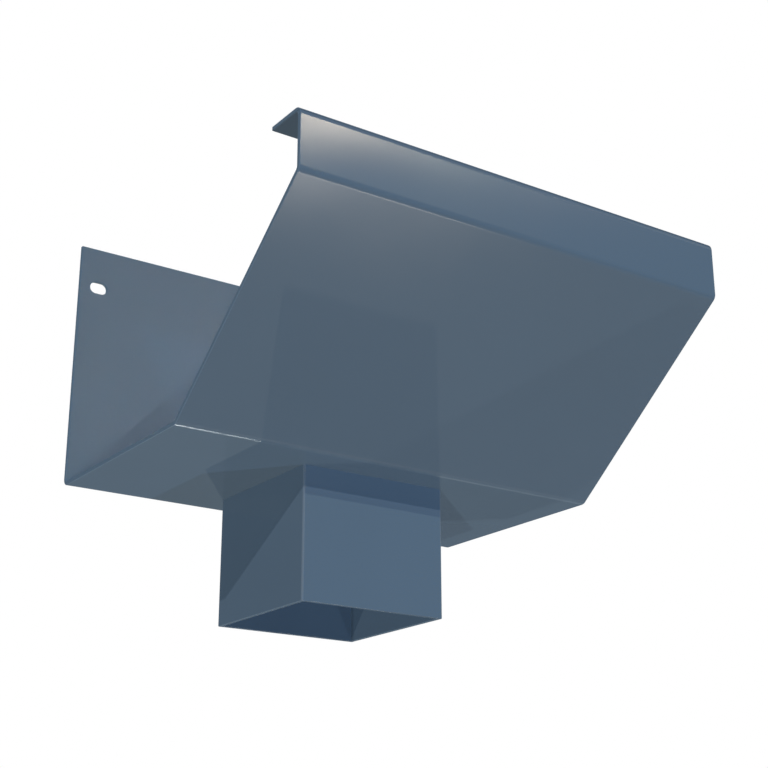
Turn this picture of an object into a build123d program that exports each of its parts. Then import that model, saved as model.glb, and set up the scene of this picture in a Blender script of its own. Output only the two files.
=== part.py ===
from build123d import *
import os

# Rainwater outlet: a short length of folded gutter with a square spigot welded into its sole.
# The origin is the centre of the spigot's rim. X runs along the gutter, +Y points to the
# building's wall and +Z is up. All sizes are in millimetres.

# Sheet
sheet = 2.5             # thickness of the folded sheet
bend_inside = 2.5       # inside radius of every fold
edge_round = 0.4        # rounding of every cut edge

# Gutter section, measured over the outside of the sheet
length = 300.0          # gutter length, end to end
sole_depth = 153.5      # from the wall face to the fold at the front of the sole
wall_height = 166.0     # from the sole's underside to the top of the back wall
front_overhang = 128.0  # how far the fascia stands ahead of the sole's front fold
knee_height = 103.0     # from the sole's underside to the fold below the fascia
fascia_height = 37.0    # upright fascia, from that fold to the top of the return
return_depth = 29.0     # level return at the top, from the fascia face to its free edge

# Outlet spigot, a square tube
outlet_width = 102.0    # over the outside of the tube
outlet_wall = 2.5       # wall of the tube
outlet_corner = 1.2     # outside radius of the tube's corners
bore_corner = 0.6       # inside radius of the tube's corners
outlet_drop = 82.5      # how far the tube stands out below the sole
outlet_to_wall = 78.0   # from the outlet's axis to the wall face
outlet_fit = 0.1        # gap all round between the tube and its cut-out

# Weld round the mouth, run on the inside where it can't be seen from the ground
weld_lap = 3.0          # how far the bead laps on to the sole
weld_rise = 1.2         # height of the bead above the sole
weld_round = 1.0        # rounding of the bead's crown

# Fixing slots in the back wall
slot_width = 8.0
slot_length = 12.0      # end to end, along the gutter
slot_from_end = 13.5    # from the gutter's end to the slot's centre
slot_from_top = 27.5    # from the top of the wall to the slot's centre

# Places that follow from the sizes
half_length = length / 2
wall_y = outlet_to_wall
front_fold_y = wall_y - sole_depth
fascia_y = front_fold_y - front_overhang
return_y = fascia_y + return_depth
sole_z = outlet_drop
mouth_z = sole_z + sheet
knee_z = sole_z + knee_height
front_top_z = knee_z + fascia_height
wall_top_z = sole_z + wall_height
bore_width = outlet_width - 2 * outlet_wall
slot_x = half_length - slot_from_end
slot_z = wall_top_z - slot_from_top


def sheet_section():
    """The folded sheet cut across: its outside line, thickened towards the inside of the gutter."""
    outside = FilletPolyline(
        (wall_y, wall_top_z),
        (wall_y, sole_z),
        (front_fold_y, sole_z),
        (fascia_y, knee_z),
        (fascia_y, front_top_z),
        (return_y, front_top_z),
        radius=bend_inside + sheet,
    )
    return Plane.YZ * make_face(offset(outside, sheet, side=Side.LEFT, closed=True))


def square_bar(width, corner, bottom_z, top_z):
    """An upright square bar on the outlet's axis, with rounded corners."""
    outline = Plane.XY.offset(bottom_z) * RectangleRounded(width, width, corner)
    return extrude(outline, top_z - bottom_z)


def fixing_slot(x):
    """The cutter for one slot, right through the back wall."""
    outline = Plane.XZ.offset(-wall_y) * Pos(x, slot_z) * SlotOverall(slot_length, slot_width)
    return extrude(outline, 2 * sheet, both=True)


def gutter_body():
    """The folded sheet with the mouth cut in its sole, the slots in its wall and its edges rounded."""
    body = extrude(sheet_section(), half_length, both=True)
    mouth_width = outlet_width + 2 * outlet_fit
    body -= square_bar(mouth_width, outlet_corner + outlet_fit, sole_z - sheet, mouth_z + sheet)
    body -= [fixing_slot(x) for x in (-slot_x, slot_x)]
    across = body.faces().sort_by(Axis.X)
    wall_top = body.faces().sort_by(Axis.Z)[-1]
    return_end = body.faces().filter_by(Axis.Y).filter_by_position(Axis.Y, return_y, return_y)
    edges = across[0].edges() + across[-1].edges() + wall_top.edges() + return_end.edges()
    for x in (-slot_x, slot_x):
        near_slot = body.edges().filter_by_position(Axis.X, x - slot_length, x + slot_length)
        edges += near_slot.filter_by_position(Axis.Z, slot_z - slot_width, slot_z + slot_width)
    return fillet(list(set(edges)), edge_round)


def outlet_spigot():
    """The square tube: its top end is level with the inside of the sole, its rim is rounded."""
    tube = square_bar(outlet_width, outlet_corner, 0, mouth_z)
    tube -= square_bar(bore_width, bore_corner, -sheet, mouth_z + sheet)
    rim = tube.faces().sort_by(Axis.Z)[0]
    return fillet(rim.edges(), edge_round)


def mouth_weld():
    """The weld bead: a low ring from the edge of the bore to just past the cut-out."""
    bead_width = outlet_width + 2 * weld_lap
    bead = square_bar(bead_width, outlet_corner + weld_lap, mouth_z, mouth_z + weld_rise)
    bead -= square_bar(bore_width, bore_corner, mouth_z - weld_rise, mouth_z + 2 * weld_rise)
    crown = bead.faces().sort_by(Axis.Z)[-1]
    return fillet(crown.edges(), weld_round)


os.makedirs("parts", exist_ok=True)
pieces = {
    "gutter_body": gutter_body(),
    "outlet_spigot": outlet_spigot(),
    "mouth_weld": mouth_weld(),
}
for name, piece in pieces.items():
    export_step(piece, f"parts/{name}.step")
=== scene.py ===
import math

import bpy
from bpy.props import FloatProperty, FloatVectorProperty, IntProperty, PointerProperty
from mathutils import Euler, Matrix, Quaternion, Vector


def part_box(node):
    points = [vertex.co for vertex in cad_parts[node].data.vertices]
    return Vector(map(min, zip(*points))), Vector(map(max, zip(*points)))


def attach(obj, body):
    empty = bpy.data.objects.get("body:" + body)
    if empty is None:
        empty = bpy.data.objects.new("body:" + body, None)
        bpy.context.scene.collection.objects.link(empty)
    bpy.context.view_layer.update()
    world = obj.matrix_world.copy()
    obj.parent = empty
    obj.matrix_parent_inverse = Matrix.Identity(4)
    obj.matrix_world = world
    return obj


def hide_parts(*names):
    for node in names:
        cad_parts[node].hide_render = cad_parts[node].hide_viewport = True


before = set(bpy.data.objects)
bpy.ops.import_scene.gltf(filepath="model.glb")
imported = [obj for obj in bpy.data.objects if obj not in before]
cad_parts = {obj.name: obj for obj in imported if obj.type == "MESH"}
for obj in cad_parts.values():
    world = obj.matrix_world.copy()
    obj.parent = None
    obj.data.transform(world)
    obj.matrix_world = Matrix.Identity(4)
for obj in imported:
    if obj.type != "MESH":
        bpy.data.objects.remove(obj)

# The looks of a rainwater outlet: a folded gutter section with a square spigot in its sole,
# powder coated in slate blue. Every size is in metres and every place is in the CAD frame:
# the origin is the centre of the spigot's rim, +Y points to the building's wall, +Z is up.

bl_info = {
    "name": "Rainwater Outlet Looks",
    "version": (1, 0, 0),
    "blender": (4, 5, 0),
    "location": "3D View > Sidebar > Outlet",
    "description": "Coats a folded rainwater outlet, runs its weld and sets its stage",
    "category": "Object",
}

GUTTER = "gutter_body"
SPIGOT = "outlet_spigot"
WELD = "mouth_weld"
BODY = "root"

# Where the pieces lie, read from the frame
GUTTER_LOW, GUTTER_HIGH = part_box(GUTTER)
SPIGOT_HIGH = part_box(SPIGOT)[1]
WELD_LOW, WELD_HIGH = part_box(WELD)

# Sizes of the CAD pieces that their boxes don't tell
SHEET = 0.0025          # thickness of the gutter's sheet
EDGE_ROUND = 0.0004     # rounding of every cut edge
BEND_OUTSIDE = 0.005    # outside radius of the folds
FRONT_TOP = 0.2225      # level of the front's top fold
FRONT_FOLD = -0.0755    # where the sole folds up into the front, along Y
FOLD_REACH = 0.0018     # how far that fold's bend reaches to each side of it
WALL_OF_TUBE = 0.0025   # wall of the spigot's tube
TUBE_CORNER = 0.0012    # outside radius of the tube's corners

# Looks of the coat that no setting changes
CORNER_GLINT_GREY = (0.25, 0.25, 0.25)     # grey of the painted highlight along the tube's outer corners
ROUGHNESS_DRIFT = -0.06         # how the roughness drifts where the tone does
WELD_DULLNESS = 1.5             # the coat's roughness on the weld, over that on the sheet
WELD_PEEL = 2.0                 # the orange peel's depth on the weld, over that on the sheet

# Lamps so far away that only their direction counts: from the object towards the lamp. The soft
# ones throw no shadows and stand for the light that comes to each face from all round. The
# light from the low back right comes from two, of which gloss shows only the weaker one.
# name, direction, strength, colour, throws shadows, shows in gloss
LAMPS = (
    ("high_front_left", (-0.590, -0.704, 0.396), 1.23, (1.00, 0.99, 0.98), True, False),
    ("high_front_right", (0.414, -0.730, 0.544), 0.97, (1.00, 1.00, 0.76), True, False),
    ("high_back_right", (0.350, 0.620, 0.700), 1.10, (1.00, 0.97, 0.92), True, False),
    ("low_back_right", (0.399, 0.527, -0.750), 0.37, (0.93, 1.00, 1.00), True, True),
    ("warm_back_right", (0.399, 0.527, -0.750), 0.72, (1.00, 0.67, 0.35), True, False),
    ("low_front_right", (0.386, -0.487, -0.783), 0.79, (0.62, 0.79, 1.00), True, False),
    ("low_front_left", (-0.598, -0.523, -0.608), 1.01, (0.92, 1.00, 0.98), True, False),
    ("low_back_left", (-0.609, 0.499, -0.617), 0.82, (1.00, 0.96, 0.87), True, False),
    ("soft_front", (0.0, -0.78, 0.63), 1.35, (0.25, 0.56, 1.00), False, False),
    ("soft_below", (0.0, 0.80, -0.60), 1.00, (1.00, 0.90, 0.70), False, False),
    ("soft_left", (-1.0, 0.0, 0.0), 0.88, (0.69, 0.85, 1.00), False, False),
    ("soft_above", (0.0, 0.35, 0.94), 0.80, (1.00, 0.96, 0.90), False, False),
    ("soft_right", (1.0, 0.0, 0.0), 0.50, (1.00, 0.97, 0.94), False, False),
    ("soft_behind", (0.0, 1.0, 0.0), 0.50, (0.35, 0.65, 1.00), False, False),
)
LAMP_STAND = 2.0        # how far off a lamp's symbol stands in the viewport
BLACK, WHITE = (0.0, 0.0, 0.0), (1.0, 1.0, 1.0)

# Soft boxes: heading from the front and elevation in degrees, width and height in degrees as
# the object sees them, turn about their own axis, brightness where 1 is white, colour, and
# whether they show in gloss that another fold of the sheet would hide them from
SOFT_BOXES = (
    ("fascia_left", 32.9, 30.0, 7.6, 1.0, 0.0, 31.5, (1.00, 0.86, 0.68), False),
    ("fascia_middle", 40.1, 30.3, 5.8, 2.4, 0.0, 15.8, (1.00, 0.99, 0.80), False),
    ("fascia_right", 47.0, 30.5, 8.0, 4.0, 0.0, 16.0, (1.00, 0.78, 0.60), False),
    ("slope_glow", 51.0, -53.0, 6.0, 10.0, -16.0, 47.5, (1.00, 0.93, 0.86), False),
    ("wall_glow", 24.0, 20.0, 12.0, 12.0, 0.0, 0.78, (1.00, 0.84, 0.53), True),
)


# Settings

class CoatSettings(bpy.types.PropertyGroup):
    """The powder coat on every piece."""

    colour: FloatVectorProperty(
        name="Colour", description="Colour of the coat", subtype="COLOR", size=3,
        default=(0.086, 0.122, 0.165), min=0, max=1)
    roughness: FloatProperty(
        name="Roughness", description="How dull the coat is",
        default=0.11, min=0, max=1, subtype="FACTOR")
    gloss: FloatProperty(
        name="Gloss", description="Specular level of the coat's resin",
        default=0.5, min=0, max=1, subtype="FACTOR")
    tone_change: FloatProperty(
        name="Tone change", description="How much the colour drifts over the sheet",
        default=0.05, min=0, max=1, subtype="FACTOR")
    tone_size: FloatProperty(
        name="Tone size", description="Size of the drifts in colour", default=0.09,
        unit="LENGTH")
    peel_size: FloatProperty(
        name="Peel size", description="Size of the coat's orange peel", default=0.0016,
        unit="LENGTH")
    peel_depth: FloatProperty(
        name="Peel depth", description="Depth of the coat's orange peel", default=0.000004,
        unit="LENGTH")
    top_dullness: FloatProperty(
        name="Top dullness", description="How much duller hands have made the top edges",
        default=0.42, min=0, max=1, subtype="FACTOR")
    fold_dullness: FloatProperty(
        name="Fold dullness", description="How much duller the coat is over the front fold",
        default=0.15, min=0, max=1, subtype="FACTOR")
    # Painted light: the cut ends of the sheet are made paler.
    end_light: FloatProperty(
        name="End light", description="How much paler the cut ends are painted, for the light on them",
        default=0.14, min=0, max=1, subtype="FACTOR")
    # Painted highlight: a grey glint along the tube's outer corners.
    corner_glint: FloatProperty(
        name="Corner glint", description="How far the tube's rubbed corners go to grey",
        default=0.24, min=0, max=1, subtype="FACTOR")
    # Painted shade: the underside of the front's return is made darker.
    lip_shade: FloatProperty(
        name="Lip shade", description="How much darker the underside of the front's return is",
        default=0.27, min=0, max=1, subtype="FACTOR")
    # Painted shade: darkens the back of the tube's bore, where little light reaches.
    bore_shade: FloatProperty(
        name="Bore shade", description="How much darker the back of the tube's bore is",
        default=0.3, min=0, max=1, subtype="FACTOR")


class WeldSettings(bpy.types.PropertyGroup):
    """The weld bead round the mouth of the spigot."""

    ripple_pitch: FloatProperty(
        name="Ripple pitch", description="Distance from one ripple to the next",
        default=0.0021, unit="LENGTH")
    ripple_depth: FloatProperty(
        name="Ripple depth", description="Height of a ripple over the dip beside it",
        default=0.0003, unit="LENGTH")
    ripple_bow: FloatProperty(
        name="Ripple bow", description="How far a ripple bows along the bead at its middle",
        default=0.0018, unit="LENGTH")
    corner_radius: FloatProperty(
        name="Corner radius", description="Radius of the bead's middle line at the corners",
        default=0.0034, unit="LENGTH")
    wander: FloatProperty(
        name="Wander", description="How far the bead's outer edge wanders", default=0.0005,
        unit="LENGTH")
    seed: IntProperty(name="Seed", description="Picks how the bead wanders", default=7)


class StageSettings(bpy.types.PropertyGroup):
    """The floor, the lamps, the background and the camera."""

    floor_level: FloatProperty(
        name="Floor level", description="Height of the floor", default=-1.2, unit="LENGTH")
    floor_size: FloatProperty(
        name="Floor size", description="Radius of the floor", default=3.0, unit="LENGTH")
    floor_colour: FloatVectorProperty(
        name="Floor colour", description="Colour of the floor", subtype="COLOR", size=3,
        default=(0.8, 0.8, 0.8), min=0, max=1)
    floor_in_gloss: FloatVectorProperty(
        name="Floor in gloss", description="Colour of the floor where gloss or glass shows it",
        subtype="COLOR", size=3, default=(0.35, 0.40, 0.44), min=0, max=1)
    floor_glow: FloatProperty(
        name="Floor glow", description="How far the floor is lifted towards the white backdrop",
        default=0.3, min=0, max=1, subtype="FACTOR")
    floor_bounce: FloatVectorProperty(
        name="Floor bounce", description="Colour of the light that the floor throws back",
        subtype="COLOR", size=3, default=(0.026, 0.055, 0.10), min=0, max=1)
    lamp_level: FloatProperty(
        name="Lamp level", description="Strength of all the lamps together", default=1.0)
    lamp_softness: FloatProperty(
        name="Lamp softness", description="How wide each lamp looks from the object",
        default=math.radians(0.5), subtype="ANGLE")
    soft_box_distance: FloatProperty(
        name="Soft box distance", description="How far off the soft boxes stand", default=20.0,
        unit="LENGTH")
    backdrop_half_width: FloatProperty(
        name="Backdrop half width", description="Half the angle that the white backdrop fills",
        default=math.radians(24), subtype="ANGLE")
    dim: FloatVectorProperty(
        name="Dim studio", description="What gloss sees beside the backdrop", subtype="COLOR",
        size=3, default=(0.07, 0.105, 0.15), min=0, max=1)
    camera_place: FloatVectorProperty(
        name="Camera place", description="Where the camera stands", subtype="TRANSLATION",
        default=(-0.49968, -0.78887, -0.17275))
    camera_heading: FloatProperty(
        name="Camera heading", description="Turn of the camera from +Y towards +X",
        default=math.radians(34.479), subtype="ANGLE")
    camera_pitch: FloatProperty(
        name="Camera pitch", description="How far the camera looks up",
        default=math.radians(19.551), subtype="ANGLE")
    camera_lens: FloatProperty(
        name="Camera lens", description="Focal length in millimetres", default=70.17,
        unit="CAMERA")


# Nodes in general

def join(tree, *ends):
    """Links each pair of sockets."""
    for start, end in zip(ends[::2], ends[1::2]):
        tree.links.new(start, end)


def put(tree, node, *values):
    """Fills a node's first inputs with sockets or values. Gives its first output."""
    for socket, value in zip(node.inputs, values):
        if isinstance(value, bpy.types.NodeSocket):
            tree.links.new(value, socket)
        else:
            socket.default_value = value
    return node.outputs[0]


def math_node(tree, operation, *values):
    """A Math node with sockets or numbers as its inputs. Gives its output."""
    node = tree.nodes.new("ShaderNodeMath")
    node.operation = operation
    return put(tree, node, *values)


def vector_node(tree, operation, *values):
    """A Vector Math node with sockets or vectors as its inputs. Gives its node."""
    node = tree.nodes.new("ShaderNodeVectorMath")
    node.operation = operation
    put(tree, node, *values)
    return node


def scaled(tree, vector, factor):
    """A vector times a number."""
    node = vector_node(tree, "SCALE", vector)
    tree.links.new(factor, node.inputs["Scale"])
    return node.outputs[0]


def mixed(tree, factor, first, second):
    """The mix of two colours, each a socket or a colour. Gives its output."""
    mix = tree.nodes.new("ShaderNodeMix")
    mix.data_type = "RGBA"
    colours_in = [socket for socket in mix.inputs if socket.type == "RGBA"]
    for socket, value in zip((mix.inputs["Factor"], *colours_in), (factor, first, second)):
        if isinstance(value, bpy.types.NodeSocket):
            tree.links.new(value, socket)
        else:
            socket.default_value = (*value, 1)
    return next(socket for socket in mix.outputs if socket.type == "RGBA")


def object_place(tree):
    """The X, Y and Z of the Object coordinates."""
    place = tree.nodes.new("ShaderNodeSeparateXYZ")
    put(tree, place, tree.nodes.new("ShaderNodeTexCoord").outputs["Object"])
    return place.outputs


def name_sockets(tree, in_out, *sockets):
    """Adds named sockets to a tree's interface."""
    for name, kind in sockets:
        tree.interface.new_socket(name=name, in_out=in_out, socket_type="NodeSocket" + kind)


# The coat

def coat_surface_group():
    """A node group for what a powder coat does to a surface: drifts in tone and orange peel."""
    group = bpy.data.node_groups.new("Powder coat surface", "ShaderNodeTree")
    name_sockets(group, "INPUT", ("Colour", "Color"), ("Roughness", "Float"),
                 ("Tone change", "Float"), ("Tone size", "Float"), ("Peel size", "Float"))
    name_sockets(group, "OUTPUT", ("Colour", "Color"), ("Roughness", "Float"),
                 ("Height", "Float"))
    nodes = group.nodes
    given = nodes.new("NodeGroupInput").outputs
    result = nodes.new("NodeGroupOutput").inputs
    place = nodes.new("ShaderNodeTexCoord").outputs["Object"]

    drift = nodes.new("ShaderNodeTexNoise")
    drift.inputs["Detail"].default_value = 3
    tone_scale = math_node(group, "DIVIDE", 1.0, given["Tone size"])
    join(group, place, drift.inputs["Vector"], tone_scale, drift.inputs["Scale"])
    from_middle = math_node(group, "SUBTRACT", drift.outputs["Fac"], 0.5)
    swing = math_node(group, "MULTIPLY", from_middle, given["Tone change"])
    tone = math_node(group, "MULTIPLY_ADD", swing, 2.0, 1.0)
    join(group, scaled(group, given["Colour"], tone), result["Colour"])
    dull = math_node(group, "MULTIPLY_ADD", from_middle, ROUGHNESS_DRIFT,
                     given["Roughness"])
    join(group, dull, result["Roughness"])

    peel = nodes.new("ShaderNodeTexNoise")
    peel.inputs["Detail"].default_value = 1
    peel_scale = math_node(group, "DIVIDE", 1.0, given["Peel size"])
    join(group, place, peel.inputs["Vector"], peel_scale, peel.inputs["Scale"],
         peel.outputs["Fac"], result["Height"])
    return group


def shaded_bore_and_glinting_corners(tree, colour, darker, glinting):
    """The tube's colour, darker down the back of the bore as painted shade and paler grey on the
    outer corners as a painted highlight.
    """
    bore = SPIGOT_HIGH[0] - WALL_OF_TUBE
    play = WALL_OF_TUBE / 10
    shade_start = bore - 2 * WALL_OF_TUBE
    glint_width = 0.9 * TUBE_CORNER
    corner_start = 2 * SPIGOT_HIGH[0] - glint_width
    place = object_place(tree)
    towards_back = tree.nodes.new("ShaderNodeMapRange")
    towards_back.interpolation_type = "SMOOTHSTEP"
    put(tree, towards_back, place["Y"], shade_start, bore - play)
    in_depth = math_node(tree, "LESS_THAN", place["Y"], bore + play)
    across = math_node(tree, "ABSOLUTE", place["X"])
    in_width = math_node(tree, "LESS_THAN", across, bore + play)
    inside = math_node(tree, "MULTIPLY", in_depth, in_width)
    # Painted shade down the back of the bore
    shade_in_bore = math_node(tree, "MULTIPLY", inside, towards_back.outputs[0])
    bore_shaded = scaled(tree, colour, math_node(tree, "MULTIPLY_ADD", shade_in_bore, -darker, 1.0))
    # Painted highlight: the outer corners mix towards grey
    out_of_middle = math_node(tree, "ADD", across, math_node(tree, "ABSOLUTE", place["Y"]))
    at_corner = math_node(tree, "GREATER_THAN", out_of_middle, corner_start)
    return mixed(tree, math_node(tree, "MULTIPLY", at_corner, glinting), bore_shaded, CORNER_GLINT_GREY)


def lit_ends_and_shaded_lip(tree, colour, paler, darker):
    """The sheet's colour, paler on the cut ends as painted light and darker under the front's
    return as painted shade.
    """
    place = object_place(tree)
    across = math_node(tree, "ABSOLUTE", place["X"])
    # Painted light on the cut ends
    at_end = math_node(tree, "GREATER_THAN", across, GUTTER_HIGH[0] - EDGE_ROUND)
    # Painted shade under the front's return
    above_underside = math_node(tree, "SUBTRACT", place["Z"], FRONT_TOP - SHEET)
    at_underside = math_node(tree, "LESS_THAN", math_node(tree, "ABSOLUTE", above_underside),
                             EDGE_ROUND)
    at_front = math_node(tree, "LESS_THAN", place["Y"], 0.0)
    under = math_node(tree, "MULTIPLY", at_underside, at_front)
    tone = math_node(tree, "MULTIPLY_ADD", at_end, paler, 1.0)
    return scaled(tree, colour, math_node(tree, "MULTIPLY_ADD", under, -darker, tone))


def handled_and_bent(tree, roughness, duller_at_top, duller_in_fold):
    """The coat's roughness, duller along the tops of wall and front and in the front fold."""
    wall_top, front_top = GUTTER_HIGH[2] - EDGE_ROUND, FRONT_TOP - BEND_OUTSIDE
    place = object_place(tree)
    at_front = math_node(tree, "LESS_THAN", place["Y"], 0.0)
    from_level = math_node(tree, "MULTIPLY_ADD", at_front, front_top - wall_top, wall_top)
    at_top = math_node(tree, "GREATER_THAN", place["Z"], from_level)
    roughness = math_node(tree, "MULTIPLY_ADD", at_top, duller_at_top, roughness)
    behind_fold = math_node(tree, "SUBTRACT", place["Y"], FRONT_FOLD)
    in_fold = math_node(tree, "LESS_THAN", math_node(tree, "ABSOLUTE", behind_fold),
                        FOLD_REACH)
    return math_node(tree, "MULTIPLY_ADD", in_fold, duller_in_fold, roughness)


def coat_material(name, coat, roughness, peel_depth, tinted=None, dulled=None):
    """A powder coat material. Its constants are on the shader's own sockets.

    tinted and dulled change the coat's colour and roughness from place to place on a piece.
    """
    material = bpy.data.materials.new(name)
    material.use_nodes = True
    tree = material.node_tree
    tree.nodes.clear()
    surface = tree.nodes.new("ShaderNodeGroup")
    surface.node_tree = (bpy.data.node_groups.get("Powder coat surface")
                         or coat_surface_group())
    for socket, value in (("Colour", (*coat.colour, 1)), ("Roughness", roughness),
                          ("Tone change", coat.tone_change), ("Tone size", coat.tone_size),
                          ("Peel size", coat.peel_size)):
        surface.inputs[socket].default_value = value
    colour, dullness = surface.outputs["Colour"], surface.outputs["Roughness"]
    if tinted:
        colour = tinted(tree, colour)
    if dulled:
        dullness = dulled(tree, dullness)
    bump = tree.nodes.new("ShaderNodeBump")
    bump.inputs["Strength"].default_value = 1
    bump.inputs["Distance"].default_value = peel_depth
    shader = tree.nodes.new("ShaderNodeBsdfPrincipled")
    shader.inputs["Specular IOR Level"].default_value = coat.gloss
    output = tree.nodes.new("ShaderNodeOutputMaterial")
    join(tree, colour, shader.inputs["Base Color"], dullness, shader.inputs["Roughness"],
         surface.outputs["Height"], bump.inputs["Height"],
         bump.outputs["Normal"], shader.inputs["Normal"],
         shader.outputs["BSDF"], output.inputs["Surface"])
    return material


def dress(piece, material):
    """Gives a piece its only material."""
    piece.data.materials.clear()
    piece.data.materials.append(material)


class OUTLET_OT_coat_gutter(bpy.types.Operator):
    """Powder coat the folded gutter section"""

    bl_idname = "outlet.coat_gutter"
    bl_label = "Coat the gutter section"

    def execute(self, context):
        coat = context.scene.outlet_coat

        # Painted light on the cut ends and painted shade under the front's return
        def tinted(tree, colour):
            return lit_ends_and_shaded_lip(tree, colour, coat.end_light, coat.lip_shade)

        def dulled(tree, roughness):
            return handled_and_bent(tree, roughness, coat.top_dullness, coat.fold_dullness)

        dress(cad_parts[GUTTER], coat_material(
            "coat on the sheet", coat, coat.roughness, coat.peel_depth, tinted, dulled))
        return {"FINISHED"}


class OUTLET_OT_coat_spigot(bpy.types.Operator):
    """Powder coat the square spigot"""

    bl_idname = "outlet.coat_spigot"
    bl_label = "Coat the spigot"

    def execute(self, context):
        coat = context.scene.outlet_coat

        # Painted shade in the bore and a painted highlight on the outer corners
        def tinted(tree, colour):
            return shaded_bore_and_glinting_corners(tree, colour, coat.bore_shade, coat.corner_glint)

        dress(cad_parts[SPIGOT], coat_material(
            "coat on the tube", coat, coat.roughness, coat.peel_depth, tinted))
        return {"FINISHED"}


# The weld

def bead_tree():
    """A Geometry Nodes tree for a weld bead that runs round a square with rounded corners.

    A grid is rolled up: its length runs along the bead and its width goes once round the bead's
    section, which is flat below and domed above, with bowed ripples on the dome.
    """
    tree = bpy.data.node_groups.new("Weld bead", "GeometryNodeTree")
    name_sockets(tree, "INPUT", ("Middle line", "Float"), ("Corner radius", "Float"),
                 ("Bead width", "Float"), ("Bead height", "Float"), ("Foot level", "Float"),
                 ("Ripple pitch", "Float"), ("Ripple depth", "Float"), ("Ripple bow", "Float"),
                 ("Wander", "Float"), ("Seed", "Int"), ("Material", "Material"))
    name_sockets(tree, "OUTPUT", ("Geometry", "Geometry"))
    nodes = tree.nodes
    given = nodes.new("NodeGroupInput").outputs
    steps_per_ripple, steps_round, corner_steps = 8, 24, 24
    path_step, same_point = 0.0003, 0.000001
    wander_scale, dome_flatness = 70, 0.8

    across_square = math_node(tree, "MULTIPLY", given["Middle line"], 2.0)
    square = put(tree, nodes.new("GeometryNodeCurvePrimitiveQuadrilateral"),
                 across_square, across_square)
    fillet = nodes.new("GeometryNodeFilletCurve")
    fillet.mode = "POLY"
    put(tree, fillet, square, corner_steps, given["Corner radius"])
    fine = nodes.new("GeometryNodeResampleCurve")
    fine.mode = "LENGTH"
    fine.inputs["Length"].default_value = path_step
    join(tree, fillet.outputs[0], fine.inputs["Curve"])
    path = fine.outputs[0]
    path_length = put(tree, nodes.new("GeometryNodeCurveLength"), path)
    ripples = math_node(tree, "ROUND", math_node(tree, "DIVIDE", path_length,
                                                 given["Ripple pitch"]))

    rows = math_node(tree, "MULTIPLY_ADD", ripples, steps_per_ripple, 1)
    grid = nodes.new("GeometryNodeMeshGrid")
    put(tree, grid, 1.0, 1.0, rows, steps_round + 1)
    flat = nodes.new("ShaderNodeSeparateXYZ")
    put(tree, flat, nodes.new("GeometryNodeInputPosition").outputs[0])
    along = math_node(tree, "ADD", flat.outputs["X"], 0.5)
    turn = math_node(tree, "MULTIPLY", flat.outputs["Y"], -math.tau)
    sideways = math_node(tree, "SINE", turn)
    upwards = math_node(tree, "MAXIMUM", math_node(tree, "COSINE", turn), 0.0)

    sample = nodes.new("GeometryNodeSampleCurve")
    sample.mode = "FACTOR"
    join(tree, path, sample.inputs["Curves"], along, sample.inputs["Factor"])
    foot = sample.outputs["Position"]
    square_on = vector_node(tree, "CROSS_PRODUCT", sample.outputs["Tangent"], (0, 0, 1))
    square_on = vector_node(tree, "NORMALIZE", square_on.outputs[0]).outputs[0]
    side = math_node(tree, "SIGN", vector_node(tree, "DOT_PRODUCT", square_on,
                                               foot).outputs["Value"])
    outwards = scaled(tree, square_on, side)

    noise = nodes.new("ShaderNodeTexNoise")
    noise.noise_dimensions = "4D"
    noise.inputs["Scale"].default_value = wander_scale
    noise.inputs["Detail"].default_value = 2
    join(tree, foot, noise.inputs["Vector"], given["Seed"], noise.inputs["W"])
    outer = math_node(tree, "MULTIPLY_ADD", sideways, 0.5, 0.5)
    drawn_in = math_node(tree, "MULTIPLY", math_node(tree, "MULTIPLY", outer, given["Wander"]),
                         noise.outputs["Fac"])
    half_width = math_node(tree, "MULTIPLY", given["Bead width"], 0.5)
    reach = math_node(tree, "SUBTRACT", math_node(tree, "MULTIPLY", sideways, half_width),
                      drawn_in)

    bow = math_node(tree, "DIVIDE", given["Ripple bow"], given["Ripple pitch"])
    bowed = math_node(tree, "MULTIPLY", bow, math_node(tree, "MULTIPLY", sideways, sideways))
    count = math_node(tree, "SUBTRACT", math_node(tree, "MULTIPLY", along, ripples), bowed)
    crest = math_node(tree, "ABSOLUTE", math_node(
        tree, "SINE", math_node(tree, "MULTIPLY", count, math.pi)))
    dip = math_node(tree, "MULTIPLY", math_node(tree, "SUBTRACT", 1.0, crest),
                    given["Ripple depth"])
    dome = math_node(tree, "MULTIPLY", math_node(tree, "POWER", upwards, dome_flatness),
                     math_node(tree, "SUBTRACT", given["Bead height"], dip))
    level = math_node(tree, "ADD", dome, given["Foot level"])

    lift = put(tree, nodes.new("ShaderNodeCombineXYZ"), 0.0, 0.0, level)
    at_foot = vector_node(tree, "ADD", foot, scaled(tree, outwards, reach)).outputs[0]
    rolled = nodes.new("GeometryNodeSetPosition")
    join(tree, grid.outputs["Mesh"], rolled.inputs["Geometry"],
         vector_node(tree, "ADD", at_foot, lift).outputs[0], rolled.inputs["Position"])
    closed = nodes.new("GeometryNodeMergeByDistance")
    closed.inputs["Distance"].default_value = same_point
    smooth = nodes.new("GeometryNodeSetShadeSmooth")
    whole = nodes.new("GeometryNodeRealizeInstances")
    coated = nodes.new("GeometryNodeSetMaterial")
    join(tree, rolled.outputs[0], closed.inputs[0], closed.outputs[0], smooth.inputs[0],
         smooth.outputs[0], whole.inputs[0], whole.outputs[0], coated.inputs[0],
         given["Material"], coated.inputs["Material"],
         coated.outputs[0], nodes.new("NodeGroupOutput").inputs[0])
    return tree


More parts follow.
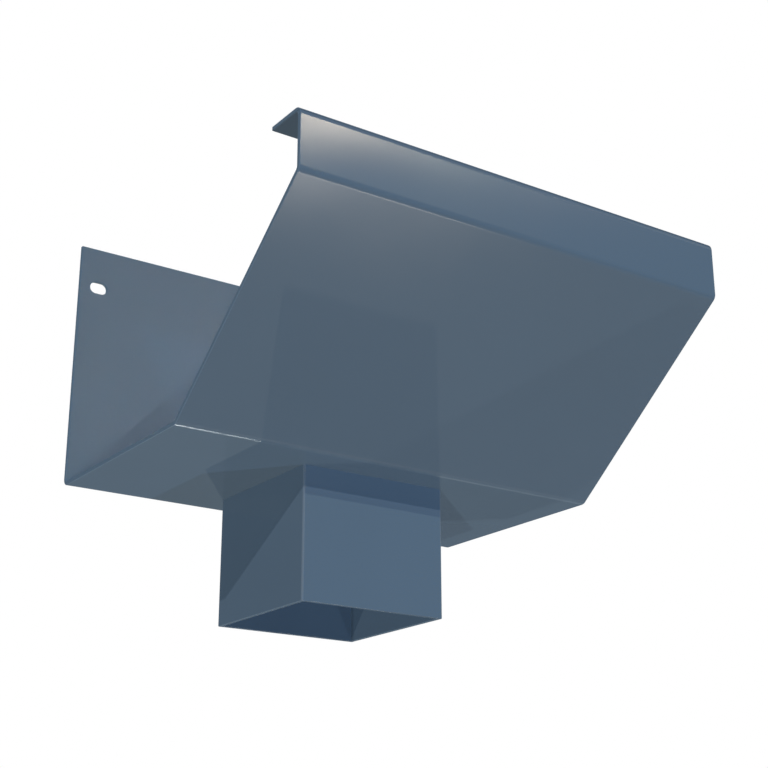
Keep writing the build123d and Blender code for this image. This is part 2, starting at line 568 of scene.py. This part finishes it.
def mesh_from_tree(name, tree, values):
    """Runs a Geometry Nodes tree with its inputs set by name. Gives a plain mesh object."""
    carrier = bpy.data.objects.new(name, bpy.data.meshes.new(name))
    bpy.context.scene.collection.objects.link(carrier)
    modifier = carrier.modifiers.new("tree", "NODES")
    modifier.node_group = tree
    for item in tree.interface.items_tree:
        if item.in_out == "INPUT":
            modifier[item.identifier] = values[item.name]
    shape = carrier.evaluated_get(bpy.context.evaluated_depsgraph_get())
    mesh = bpy.data.meshes.new_from_object(shape)
    carrier.modifiers.remove(modifier)
    carrier.data = mesh
    mesh.name = name
    return carrier


class OUTLET_OT_run_weld(bpy.types.Operator):
    """Run the weld bead round the mouth of the spigot"""

    bl_idname = "outlet.run_weld"
    bl_label = "Run the weld"

    def execute(self, context):
        coat, weld = context.scene.outlet_coat, context.scene.outlet_weld
        bore = SPIGOT_HIGH[0] - WALL_OF_TUBE
        width = WELD_HIGH[0] - bore
        bead = mesh_from_tree("weld_bead", bead_tree(), {
            "Middle line": bore + width / 2,
            "Corner radius": weld.corner_radius,
            "Bead width": width,
            "Bead height": WELD_HIGH[2] - WELD_LOW[2],
            "Foot level": WELD_LOW[2],
            "Ripple pitch": weld.ripple_pitch,
            "Ripple depth": weld.ripple_depth,
            "Ripple bow": weld.ripple_bow,
            "Wander": weld.wander,
            "Seed": weld.seed,
            "Material": coat_material("coat on the weld", coat, coat.roughness * WELD_DULLNESS,
                                      coat.peel_depth * WELD_PEEL),
        })
        if not bead.data.polygons:
            raise RuntimeError("the weld bead came out empty")
        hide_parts(WELD)
        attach(bead, BODY)
        return {"FINISHED"}


# The stage

def far_lamp(name, direction, strength, colour, throws_shadows, in_gloss, softness):
    """A lamp so far away that its light is parallel."""
    data = bpy.data.lights.new(name, "SUN")
    data.energy = strength
    data.color = colour
    data.angle = softness
    data.use_shadow = throws_shadows
    lamp = bpy.data.objects.new(name, data)
    lamp.visible_glossy = in_gloss
    lamp.rotation_mode = "QUATERNION"
    lamp.rotation_quaternion = Vector(direction).to_track_quat("Z", "Y")
    lamp.location = Vector(direction) * LAMP_STAND
    bpy.context.scene.collection.objects.link(lamp)


def background_shown(tree):
    """Two factors, 1 where a ray shows the background: to the camera, and in gloss or glass."""
    path = tree.nodes.new("ShaderNodeLightPath").outputs
    mirrored = math_node(tree, "MAXIMUM", path["Is Glossy Ray"], path["Is Transmission Ray"])
    return path["Is Camera Ray"], mirrored


def pale_floor(stage):
    """A plain round floor that fades into the white backdrop towards its rim.

    It takes shadows and throws none, so the low lamps reach the object. The camera and gloss
    see it in colours of their own, and its bounce has a third one.
    """
    corners, radius = 96, stage.floor_size
    fade_start, fade_end = radius * 0.3, radius * 0.95
    ring = [(radius * math.cos(i * math.tau / corners), radius * math.sin(i * math.tau / corners),
             stage.floor_level) for i in range(corners)]
    mesh = bpy.data.meshes.new("floor")
    mesh.from_pydata(ring, [], [range(corners)])
    floor = bpy.data.objects.new("floor", mesh)
    bpy.context.scene.collection.objects.link(floor)
    floor.visible_shadow = False
    material = bpy.data.materials.new("pale floor")
    material.use_nodes = True
    tree = material.node_tree
    shader = tree.nodes["Principled BSDF"]
    shader.inputs["Roughness"].default_value = 0.9
    shader.inputs["Specular IOR Level"].default_value = 0
    shader.inputs["Emission Strength"].default_value = 1
    seen, mirrored = background_shown(tree)
    place = vector_node(tree, "MULTIPLY", tree.nodes.new("ShaderNodeTexCoord").outputs["Object"],
                        (1, 1, 0))
    from_middle = vector_node(tree, "LENGTH", place.outputs[0]).outputs["Value"]
    fade = tree.nodes.new("ShaderNodeMapRange")
    fade.interpolation_type = "SMOOTHSTEP"
    put(tree, fade, from_middle, fade_start, fade_end)
    lift = math_node(tree, "MULTIPLY_ADD", fade.outputs[0], 1 - stage.floor_glow,
                     stage.floor_glow)
    shown = mixed(tree, lift, stage.floor_colour, BLACK)
    glow = mixed(tree, lift, BLACK, WHITE)
    unseen = mixed(tree, mirrored, stage.floor_bounce, stage.floor_in_gloss)
    join(tree, mixed(tree, seen, unseen, shown), shader.inputs["Base Color"],
         mixed(tree, seen, BLACK, glow), shader.inputs["Emission Color"])
    floor.data.materials.append(material)


def soft_box(name, heading, elevation, width, height, turn, brightness, colour, unhidden,
             distance):
    """A flat lamp of a given width and height, seen from the object, that faces the object.

    Its own light throws no shadows. Rays that leave the gloss find it as well, and are stopped
    by another fold of the sheet. Where the lamp is unhidden, its own light alone counts.
    """
    aside, up = math.radians(heading), math.radians(elevation)
    away = Vector((math.sin(aside) * math.cos(up), -math.cos(aside) * math.cos(up),
                   math.sin(up)))
    data = bpy.data.lights.new(name, "AREA")
    data.shape = "RECTANGLE"
    data.size = 2 * distance * math.tan(math.radians(width / 2))
    data.size_y = 2 * distance * math.tan(math.radians(height / 2))
    data.energy = brightness * math.pi * data.size * data.size_y
    data.color = colour
    data.use_shadow = False
    data.cycles.use_multiple_importance_sampling = not unhidden
    lamp = bpy.data.objects.new(name, data)
    lamp.visible_camera = False
    lamp.location = away * distance + (GUTTER_LOW + GUTTER_HIGH) / 2
    lamp.rotation_mode = "QUATERNION"
    spin = Quaternion((0, 0, 1), math.radians(turn))
    lamp.rotation_quaternion = away.to_track_quat("Z", "Y") @ spin
    bpy.context.scene.collection.objects.link(lamp)


def studio_world(world, dim, towards_backdrop, backdrop_half_width):
    """A world that is white to the camera and lights nothing: the lamps do that.

    Gloss and glass see the white backdrop where it stands, behind the object, and the dim
    studio elsewhere.
    """
    soft_edge = 0.15
    world.use_nodes = True
    tree = world.node_tree
    tree.nodes.clear()
    seen, mirrored = background_shown(tree)
    nearness = vector_node(tree, "DOT_PRODUCT",
                           tree.nodes.new("ShaderNodeTexCoord").outputs["Generated"],
                           towards_backdrop)
    edge = tree.nodes.new("ShaderNodeMapRange")
    edge.interpolation_type = "SMOOTHSTEP"
    put(tree, edge, nearness.outputs["Value"], math.cos(backdrop_half_width * (1 + soft_edge)),
        math.cos(backdrop_half_width * (1 - soft_edge)))
    backdrop = math_node(tree, "MULTIPLY", mirrored, edge.outputs["Result"])
    studio = mixed(tree, mirrored, BLACK, dim)
    whole = mixed(tree, math_node(tree, "MAXIMUM", seen, backdrop), studio, WHITE)
    background = tree.nodes.new("ShaderNodeBackground")
    output = tree.nodes.new("ShaderNodeOutputWorld")
    join(tree, whole, background.inputs["Color"],
         background.outputs["Background"], output.inputs["Surface"])


class OUTLET_OT_set_stage(bpy.types.Operator):
    """Set the floor, the lamps, the white background and the camera"""

    bl_idname = "outlet.set_stage"
    bl_label = "Set the stage"

    def execute(self, context):
        scene, stage = context.scene, context.scene.outlet_stage
        scene.view_settings.view_transform = "Standard"
        pale_floor(stage)
        for name, direction, strength, colour, throws_shadows, in_gloss in LAMPS:
            far_lamp(name, direction, strength * stage.lamp_level, colour, throws_shadows,
                     in_gloss, stage.lamp_softness)
        for box in SOFT_BOXES:
            soft_box(*box, stage.soft_box_distance)
        heading, pitch = stage.camera_heading, stage.camera_pitch
        ahead = Vector((math.sin(heading) * math.cos(pitch),
                        math.cos(heading) * math.cos(pitch), math.sin(pitch)))
        scene.world = scene.world or bpy.data.worlds.new("studio")
        studio_world(scene.world, stage.dim, ahead, stage.backdrop_half_width)
        camera = bpy.data.objects.new("camera", bpy.data.cameras.new("camera"))
        camera.data.lens = stage.camera_lens
        camera.location = stage.camera_place
        camera.rotation_euler = Euler((math.pi / 2 + pitch, 0, -heading))
        scene.collection.objects.link(camera)
        scene.camera = camera
        return {"FINISHED"}


# Panel and registering

class OUTLET_PT_looks(bpy.types.Panel):
    """Lists the steps that dress the outlet."""

    bl_label = "Rainwater outlet"
    bl_idname = "OUTLET_PT_looks"
    bl_space_type = "VIEW_3D"
    bl_region_type = "UI"
    bl_category = "Outlet"

    def draw(self, context):
        for operator in OPERATORS:
            self.layout.operator(operator.bl_idname)
        for settings in SETTINGS:
            box = self.layout.box()
            group = getattr(context.scene, settings)
            for name in group.__annotations__:
                box.prop(group, name)


SETTINGS = {
    "outlet_coat": CoatSettings,
    "outlet_weld": WeldSettings,
    "outlet_stage": StageSettings,
}
OPERATORS = (
    OUTLET_OT_coat_gutter,
    OUTLET_OT_coat_spigot,
    OUTLET_OT_run_weld,
    OUTLET_OT_set_stage,
)


def register():
    for cls in (*SETTINGS.values(), *OPERATORS, OUTLET_PT_looks):
        bpy.utils.register_class(cls)
    for name, cls in SETTINGS.items():
        setattr(bpy.types.Scene, name, PointerProperty(type=cls))


def unregister():
    for name in SETTINGS:
        delattr(bpy.types.Scene, name)
    for cls in reversed((*SETTINGS.values(), *OPERATORS, OUTLET_PT_looks)):
        bpy.utils.unregister_class(cls)


def main():
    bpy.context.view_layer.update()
    register()
    bpy.ops.outlet.coat_gutter()
    bpy.ops.outlet.coat_spigot()
    bpy.ops.outlet.run_weld()
    bpy.ops.outlet.set_stage()


if __name__ == "__main__":
    main()
